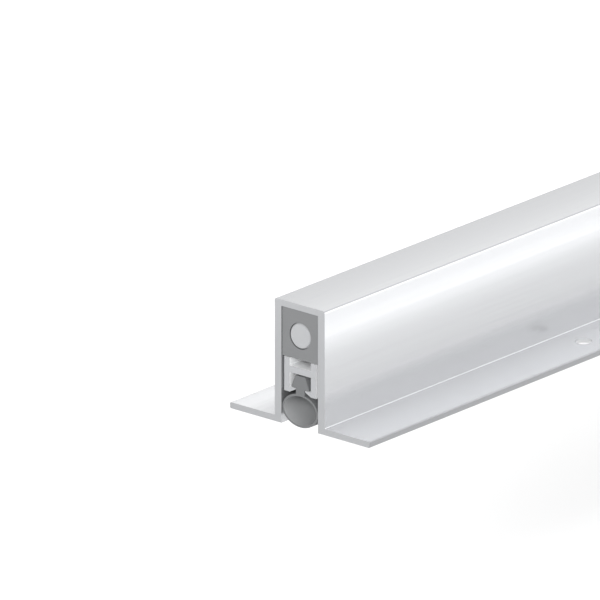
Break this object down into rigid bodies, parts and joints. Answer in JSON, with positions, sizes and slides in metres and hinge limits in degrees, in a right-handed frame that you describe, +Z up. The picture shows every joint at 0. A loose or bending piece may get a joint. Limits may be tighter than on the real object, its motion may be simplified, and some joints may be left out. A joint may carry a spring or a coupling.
{
  "type": "door sweep",
  "caption": "Automatic drop-down door bottom seal: a flanged aluminium channel whose end button pushes a rubber tube seal down on to the floor.",
  "frame": {"origin": "in the plane of the flanges' underside, at the middle of the housing's length and width", "axes": "+X along the door's width, from the button end to the plain end; +Y across the door leaf, towards the wall that holds the block screws; +Z up, out of the floor and into the door leaf"},
  "size_m": [0.335, 0.042, 0.03],
  "materials": {
    "housing_aluminium": "natural anodised extrusion, satin, with fine die lines along its length",
    "carrier_aluminium": "mill finish, sawn end",
    "guide_plastic": "dark grey moulded nylon, fine matt grain",
    "button_plastic": "light grey turned acetal, satin",
    "seal_rubber": "grey extruded rubber, matt, slightly waxy",
    "zinc_steel": "bright zinc plate",
    "spring_steel": "drawn spring wire, bright"
  },
  "bodies": {
    "housing": {"housing": "housing_aluminium", "end_guide_block": "guide_plastic", "spring_seat": "guide_plastic", "front_lift_guide": "guide_plastic", "rear_lift_guide": "guide_plastic", "rear_guide_block": "guide_plastic", "block_screws": "zinc_steel", "return_spring": "spring_steel"},
    "push_rod": {"actuator_rod": "zinc_steel", "link_rod": "zinc_steel", "tail_rod": "zinc_steel", "rod_rivets": "zinc_steel", "spring_collar": "zinc_steel", "collar_pin": "zinc_steel", "front_cam_plate": "zinc_steel", "rear_cam_plate": "zinc_steel"},
    "button": {"release_button": "button_plastic"},
    "carrier": {"carrier_profile": "carrier_aluminium", "seal": "seal_rubber", "front_lifting_lug_left": "zinc_steel", "front_lifting_lug_right": "zinc_steel", "rear_lifting_lug_left": "zinc_steel", "rear_lifting_lug_right": "zinc_steel", "front_cross_pin": "zinc_steel", "rear_cross_pin": "zinc_steel", "lug_rivets": "zinc_steel"}
  },
  "joints": [
    {"name": "button_press", "type": "slide", "parent": "housing", "child": "push_rod", "axis": [1, 0, 0], "range_m": [0, 0.008], "stiffness_N_per_m": 650, "springref_m": -0.008, "deforming": ["return_spring"]},
    {"name": "seal_drop", "type": "slide", "parent": "housing", "child": "carrier", "axis": [0, 0, -1], "range_m": [0, 0.01]},
    {"name": "button_adjust", "type": "slide", "parent": "push_rod", "child": "button", "axis": [-1, 0, 0], "range_m": [0, 0.008]}
  ],
  "couplings": [
    {"joint": "seal_drop", "follows": "button_press", "ratio": 1.25}
  ]
}
